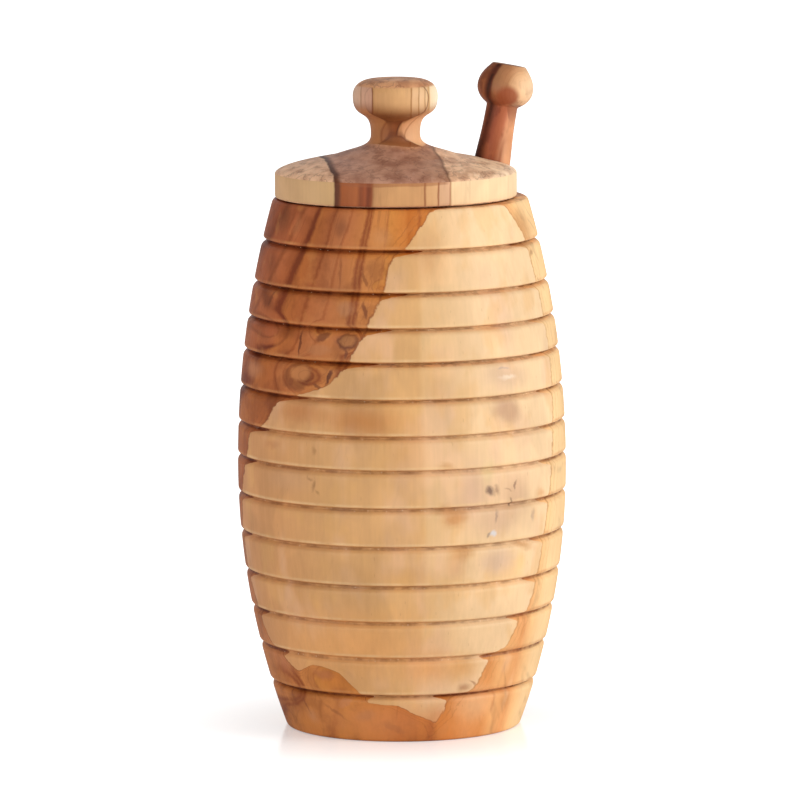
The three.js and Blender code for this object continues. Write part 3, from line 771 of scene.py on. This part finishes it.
# The notch follows the handle, which leans from the floor to the inside of the rim.
handle_radius = 4.85
handle_clearance = 0.55
notch_radius = handle_radius + handle_clearance
head_radius = 13.5
dipper_foot_offset = 2
rest_gap = 0.3
pivot_height = floor_thickness + rest_gap + head_radius
lean_run = mouth_radius - dipper_foot_offset
lean_rise = pot_height - pivot_height
dipper_lean = math.atan2(lean_run, lean_rise) - math.asin(
    (handle_radius + rest_gap) / math.hypot(lean_run, lean_rise))
dipper_place = (
    Matrix.Translation((outward * dipper_foot_offset + Vector((0, 0, pivot_height))) * MM)
    @ Matrix.Rotation(dipper_bearing, 4, "Z")
    @ Matrix.Rotation(dipper_lean, 4, "Y"))


def notch_cutter():
    """A slot with a round inner end, which runs along the dipper's handle and out at the edge."""
    bm = bmesh.new()
    bottom = lean_rise - spigot_depth - 5
    depth = crown_height + lid_wall + spigot_depth + 10
    start = bm.verts.new((0, notch_radius, bottom))
    arc = bmesh.ops.spin(
        bm, geom=[start], cent=(0, 0, 0), axis=(0, 0, 1), angle=math.pi, steps=32,
        use_merge=False, use_normal_flip=False, use_duplicate=False)
    end = next(item for item in arc["geom_last"] if isinstance(item, bmesh.types.BMVert))
    reach = lid_radius + 5
    near = bm.verts.new((reach, -notch_radius, bottom))
    far = bm.verts.new((reach, notch_radius, bottom))
    bm.edges.new((end, near))
    bm.edges.new((near, far))
    bm.edges.new((far, start))
    bmesh.ops.remove_doubles(bm, verts=bm.verts, dist=0.001)
    face = bmesh.ops.contextual_create(bm, geom=bm.edges)["faces"]
    top = bmesh.ops.extrude_face_region(bm, geom=face)["geom"]
    raised = [item for item in top if isinstance(item, bmesh.types.BMVert)]
    bmesh.ops.translate(bm, verts=raised, vec=(0, 0, depth))
    bmesh.ops.recalc_face_normals(bm, faces=bm.faces)
    bmesh.ops.transform(bm, matrix=dipper_place @ Matrix.Scale(MM, 4), verts=bm.verts)
    mesh = bpy.data.meshes.new("notch_cutter")
    bm.to_mesh(mesh)
    bm.free()
    cutter = bpy.data.objects.new("notch_cutter", mesh)
    bpy.context.scene.collection.objects.link(cutter)
    return cutter


# The notch is sawn out, and its edges are eased with sandpaper.
edge_easing = 0.35
cutter = notch_cutter()
cut = lid.modifiers.new("notch", "BOOLEAN")
cut.object = cutter
cut.operation = "DIFFERENCE"
cut.solver = "EXACT"
eased = lid.modifiers.new("eased_edges", "BEVEL")
eased.width = edge_easing * MM
eased.segments = 3
eased.limit_method = "ANGLE"
eased.angle_limit = math.radians(50)
cut_mesh = bpy.data.meshes.new_from_object(lid.evaluated_get(bpy.context.evaluated_depsgraph_get()))
lid.modifiers.clear()
lid.data = cut_mesh
bpy.data.objects.remove(cutter)
smooth_but_keep_arrises(lid, math.radians(40))
lid.data.materials.clear()
lid.data.materials.append(olive_wood("oiled_olive_wood_of_the_lid", lid_figure))
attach(lid, "lid")
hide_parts("lid")


# The honey dipper.
# Turned from a stick of dark heartwood: a ball to hold, a swelling handle, and a head of discs
# that carry the honey.

dipper_length = 160.8
head_shoulder_rise = 19.3
head_core_radius = 7
head_groove_count = 7
head_groove_pitch = 3.6
head_groove_width = 1.7
first_head_groove_drop = 7.3
neck_radius = 3.9
throat_radius = 4.05
handle_swell_share = 0.82
ball_radius = 7.3
ball_drop = 5.6
ball_cap_height = 6.1
ball_cap_radius = 4.3


def head_radius_at(along):
    """The dipper's head before it is grooved: round below its widest place, and longer above."""
    reach = head_radius if along < 0 else head_shoulder_rise
    return head_radius * math.sqrt(1 - (along / reach) ** 2)


def dipper_profile():
    """From the tip of the head up the handle and over the ball. Height 0 is the head's widest."""
    points = []
    lowest = -first_head_groove_drop - head_groove_width / 2
    lowest_turn = math.asin(lowest / head_radius)
    for step in range(13):
        turn = -math.pi / 2 + (lowest_turn + math.pi / 2) * step / 12
        points.append(Vector((head_radius * math.cos(turn), head_radius * math.sin(turn))))
    points[0].x = 0
    # Six discs stand between seven grooves, and the head's shoulder closes over the last one.
    for groove in range(head_groove_count):
        low = lowest + groove * head_groove_pitch
        high = low + head_groove_width
        if groove:
            points += [
                Vector((head_radius_at(along), along))
                for along in (points[-1].y + 0.5, low - 0.25)]
            points.append(Vector((head_radius_at(low) - 0.1, low - 0.05)))
        points += curve(
            points[-1], Vector((head_radius_at(low) - 0.6, low + 0.2)),
            Vector((head_core_radius, low + 0.2)),
            Vector((head_core_radius, low + head_groove_width / 2)), 6)
        points += curve(
            points[-1], Vector((head_core_radius, high - 0.2)),
            Vector((head_radius_at(high) - 0.6, high - 0.2)),
            Vector((head_radius_at(high) - 0.1, high + 0.05)), 6)
        points.append(Vector((head_radius_at(high + 0.25), high + 0.25)))
    head_top = head_shoulder_rise * math.sqrt(1 - (neck_radius / head_radius) ** 2)
    ball_centre = dipper_length - head_radius - ball_cap_height
    throat_turn = math.acos(throat_radius / ball_radius)
    throat_height = ball_centre - ball_drop * math.sin(throat_turn)
    swell_height = head_top + (throat_height - head_top) * handle_swell_share
    points += curve(
        points[-1], Vector((head_radius_at(high + 1), high + 1)),
        Vector((neck_radius, head_top - 0.8)), Vector((neck_radius, head_top + 0.4)), 8)
    middle = (head_top + swell_height) / 2
    points += curve(
        points[-1], Vector((neck_radius, middle)), Vector((handle_radius, middle)),
        Vector((handle_radius, swell_height)), 24)
    middle = (throat_height + swell_height) / 2
    points += curve(
        points[-1], Vector((handle_radius, middle)), Vector((throat_radius, middle)),
        Vector((throat_radius, throat_height - 0.25)), 16)
    # The ball is flatter below than above, and ends in a small flat cap.
    for step in range(15):
        turn = (throat_turn - 0.03) * (step / 14 - 1)
        points.append(Vector((ball_radius * math.cos(turn), ball_centre + ball_drop * math.sin(turn))))
    cap = ball_centre + ball_cap_height
    points += curve(
        points[-1], Vector((ball_radius, ball_centre + ball_cap_height * 0.43)),
        Vector(((ball_radius + ball_cap_radius) / 2, ball_centre + ball_cap_height * 0.7)),
        Vector((ball_cap_radius + 0.25, cap - 0.35)), 16)
    points += curve(
        points[-1], Vector((ball_cap_radius + 0.1, cap - 0.1)), Vector((ball_cap_radius - 0.2, cap)),
        Vector((ball_cap_radius - 0.6, cap)), 4)
    points += [Vector((ball_cap_radius / 2, cap)), Vector((0, cap))]
    return points


dark_ring_from_axis = 8.3
ball_knot = (28.7, 1.7, 162.9)


def dipper_figure(tree, point):
    """Heartwood with a nearly black ring through the stick, which shows on the left and runs
    over the ball, and paler wood on the right, paler still where light is painted on the handle
    and the ball. Places are taken from the leaning stick's axis."""
    x, y, z = add(tree, "SeparateXYZ", {0: point}).outputs
    rise = add(tree, "Math", {0: z, 1: pivot_height}, operation="SUBTRACT")
    lean = math.tan(dipper_lean)
    axis_x = add(
        tree, "Math", {0: rise, 1: lean * outward.x, 2: dipper_foot_offset * outward.x},
        operation="MULTIPLY_ADD")
    axis_y = add(
        tree, "Math", {0: rise, 1: lean * outward.y, 2: dipper_foot_offset * outward.y},
        operation="MULTIPLY_ADD")
    across_x = add(tree, "Math", {0: x, 1: axis_x}, operation="SUBTRACT")
    across_y = add(tree, "Math", {0: y, 1: axis_y}, operation="SUBTRACT")
    ring = add(tree, "Math", {0: across_y, 1: -0.8, 2: across_x}, operation="MULTIPLY_ADD")
    ring = add(tree, "Math", {0: z, 1: -0.05, 2: ring}, operation="MULTIPLY_ADD")
    ring = add(tree, "Math", {0: ring, 1: dark_ring_from_axis}, operation="ADD")
    colours = ramp_over(tree, ring, -12, 12, [
        (-12, "#8d5030"), (-4, "#9a5830"), (-2.2, "#9c5932"), (-0.7, "#66301a"), (0, "#421b0c"),
        (0.6, "#4b1f0f"), (1.8, "#7f3e22"), (2.6, "#96492a"), (5, "#ad6240"), (5.8, "#c8875d"),
        (6.3, "#ad6a45"), (7, "#deaa7c"), (12, "#efc497"),
    ])
    flame_noise = noise(tree, point, 4, 3, (1, 1, 0.5))
    flame = add(tree, "MapRange", {0: flame_noise, 1: 0.5, 2: 0.62, 3: 0, 4: 0.55}, **smoothly)
    colours = add(tree, "Mix", {0: flame, 6: colours, 7: "#6d3018"}, **in_colour)

    # The ball is tan, and paler on the right where the lamp's light is painted on. It has the dark ring
    # and one brown patch.
    to_patch = add(tree, "VectorMath", {0: point, 1: ball_knot}, operation="DISTANCE")
    patch = add(tree, "MapRange", {0: to_patch, 1: 2.4, 2: 4.2, 3: 0.9, 4: 0}, **smoothly)
    from_ball = add(tree, "MapRange", {0: z, 1: 160, 2: 168}, **smoothly)
    ball_tint = add(tree, "Math", {0: from_ball, 1: 0.8}, operation="MULTIPLY")
    ball_tan_and_lit = ramp_over(tree, across_x, -8, 8, [
        (-8, "#a06a44"), (1, "#ae7a50"), (4, "#d8a677"), (6.5, "#f3cb9e"), (8, "#fbdcb4"),
    ])
    tan = add(tree, "Mix", {0: ball_tint, 6: colours, 7: ball_tan_and_lit}, **in_colour)
    in_ring = add(tree, "MapRange", {0: ring, 1: 0.9, 2: 2, 3: 1, 4: 0}, **smoothly)
    with_ring = add(tree, "Mix", {0: in_ring, 6: tan, 7: colours}, **in_colour)

    # The handle is redder, with tan flames, nearly black on its left, and pale on its right, where a
    # highlight is painted.
    # Towards the lid the handle darkens: partly dark grain, partly painted shade where it meets the lid.
    low = add(tree, "MapRange", {0: z, 1: 146, 2: 157, 3: 0.55, 4: 0}, **smoothly)
    brown = add(tree, "Mix", {0: low, 6: with_ring, 7: "#70300f"}, **in_colour)
    glow_noise = noise(tree, point, 3, 3, (1, 1, 0.4))
    glow = add(tree, "MapRange", {0: glow_noise, 1: 0.5, 2: 0.62, 3: 0, 4: 0.55}, **smoothly)
    glow_here = add(tree, "Math", {0: glow, 1: low}, operation="MULTIPLY")
    flamed = add(tree, "Mix", {0: glow_here, 6: brown, 7: "#c87444"}, **in_colour)
    left = add(tree, "MapRange", {0: across_x, 1: -3.8, 2: -1, 3: 0.92, 4: 0}, **smoothly)
    on_handle = add(tree, "MapRange", {0: z, 1: 148, 2: 160, 3: 1, 4: 0}, **smoothly)
    dark_left = add(tree, "Math", {0: left, 1: on_handle}, operation="MULTIPLY")
    darkened = add(tree, "Mix", {0: dark_left, 6: flamed, 7: "#360f02"}, **in_colour)
    # A painted highlight runs down the handle's right side, where the lamp's light falls.
    right = add(tree, "MapRange", {0: across_x, 1: 1.9, 2: 3.5, 3: 0, 4: 0.6}, **smoothly)
    off_ball = add(tree, "MapRange", {0: z, 1: 154, 2: 160, 3: 1, 4: 0}, **smoothly)
    painted_highlight_right = add(tree, "Math", {0: right, 1: off_ball}, operation="MULTIPLY")
    lit = add(tree, "Mix", {0: painted_highlight_right, 6: darkened, 7: "#dd9c6c"}, **in_colour)
    patched = add(tree, "Mix", {0: patch, 6: lit, 7: "#984c2b"}, **in_colour)
    return patched, ring, faint_lines, "#a27c62", nearly_level


steps_round_dipper = 80
dipper = turn_on_lathe("turned_honey_dipper", dipper_profile(), steps_round_dipper, dipper_place)
smooth_but_keep_arrises(dipper, math.radians(45))
dipper.data.materials.append(olive_wood("oiled_olive_heartwood", dipper_figure))
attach(dipper, "dipper")
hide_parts("dipper")


# The table and the light.
# A table top in white satin paint, in a white room. A big soft lamp stands on the right of the
# pot and a weaker one on the left.

table_half_width = 30
bm = bmesh.new()
bmesh.ops.create_grid(bm, x_segments=1, y_segments=1, size=table_half_width)
table_mesh = bpy.data.meshes.new("table_top")
bm.to_mesh(table_mesh)
bm.free()
table = bpy.data.objects.new("table_top", table_mesh)
bpy.context.scene.collection.objects.link(table)
table_paint = bpy.data.materials.new("white_satin_table_top")
table_paint.use_nodes = True
tree = table_paint.node_tree
tree.nodes.clear()
white = "#ffffff"
# To the camera the table is as white as the room, but for the shadow, and mirrors the pot near
# its foot. For the pot it is only matt paint.
matt = add(tree, "BsdfDiffuse", {"Color": "#f4f4f4"})
gloss = add(tree, "BsdfGlossy", {"Color": white, "Roughness": 0.16})
spread = add(tree, "VectorMath", {0: add(tree, "TexCoord").outputs["Object"]}, operation="LENGTH")
lift_strength = add(tree, "MapRange", {0: spread, 1: 0.03, 2: 0.09, 3: 0.42, 4: 0.8}, **smoothly)
lift = add(tree, "Emission", {"Color": white, "Strength": lift_strength})
lifted = add(tree, "AddShader", {0: matt, 1: lift})
glossy_share = add(tree, "MapRange", {0: spread, 1: 0.03, 2: 0.13, 3: 0.3, 4: 0.0}, **smoothly)
seen = add(tree, "MixShader", {0: glossy_share, 1: lifted, 2: gloss})
path = add(tree, "LightPath")
surface = add(tree, "MixShader", {0: path.outputs["Is Camera Ray"], 1: matt, 2: seen})
add(tree, "OutputMaterial", {"Surface": surface})
table.data.materials.append(table_paint)

world = bpy.data.worlds.new("studio")
bpy.context.scene.world = world
world.use_nodes = True
tree = world.node_tree
tree.nodes.clear()
# The camera sees white, and matt faces get an even soft light. Shiny faces mirror a white wall
# behind the pot and a dim room elsewhere.
path = add(tree, "LightPath")
aim = add(tree, "SeparateXYZ", {0: add(tree, "TexCoord").outputs["Generated"]})
backdrop = add(tree, "MapRange", {0: aim.outputs["Y"], 1: 0.8, 2: 0.92, 3: 0.15, 4: 1.0}, **smoothly)
not_glossy = add(tree, "MapRange", {0: path.outputs["Is Glossy Ray"], 3: 0.58, 4: backdrop})
strength = add(tree, "MapRange", {0: path.outputs["Is Camera Ray"], 3: not_glossy, 4: 1.0})
sky = add(tree, "Background", {"Color": white, "Strength": strength})
add(tree, "OutputWorld", {"Surface": sky})

lamps_aim = Vector((0, 0, 0.08))


def soft_lamp(name, position, width, height, power):
    """An area lamp that looks at the middle of the pot: metres and watts."""
    lamp = bpy.data.lights.new(name, "AREA")
    lamp.shape = "RECTANGLE"
    lamp.size = width
    lamp.size_y = height
    lamp.energy = power
    holder = bpy.data.objects.new(name, lamp)
    holder.location = position
    aim = lamps_aim - Vector(position)
    holder.rotation_euler = aim.to_track_quat("-Z", "Y").to_euler()
    bpy.context.scene.collection.objects.link(holder)


soft_lamp("right_softbox", (1.25, -0.5, 0.45), 0.7, 0.9, 13.5)
soft_lamp("left_softbox", (-0.85, -1.05, 0.24), 0.6, 0.8, 6)


# The camera.
# A long lens from nearly two metres away, a little above the lid. Its focal length is in pixels
# of the picture, which is 800 wide.

camera_distance = 1.95
camera_elevation = math.radians(7.37)
camera_aim = Vector((-0.00041, 0, 0.0849))
focal_pixels = 7500
frame_pixels = 800
camera_roll = math.radians(-0.36)
lens = bpy.data.cameras.new("camera")
lens.sensor_width = 36
lens.lens = focal_pixels / frame_pixels * lens.sensor_width
lens.clip_end = 100
camera = bpy.data.objects.new("camera", lens)
back = Vector((0, -math.cos(camera_elevation), math.sin(camera_elevation)))
camera.location = camera_aim + back * camera_distance
look = (-back).to_track_quat("-Z", "Y").to_matrix().to_4x4() @ Matrix.Rotation(camera_roll, 4, "Z")
camera.rotation_euler = look.to_euler()
bpy.context.scene.collection.objects.link(camera)
bpy.context.scene.camera = camera
bpy.context.scene.view_settings.view_transform = "Standard"
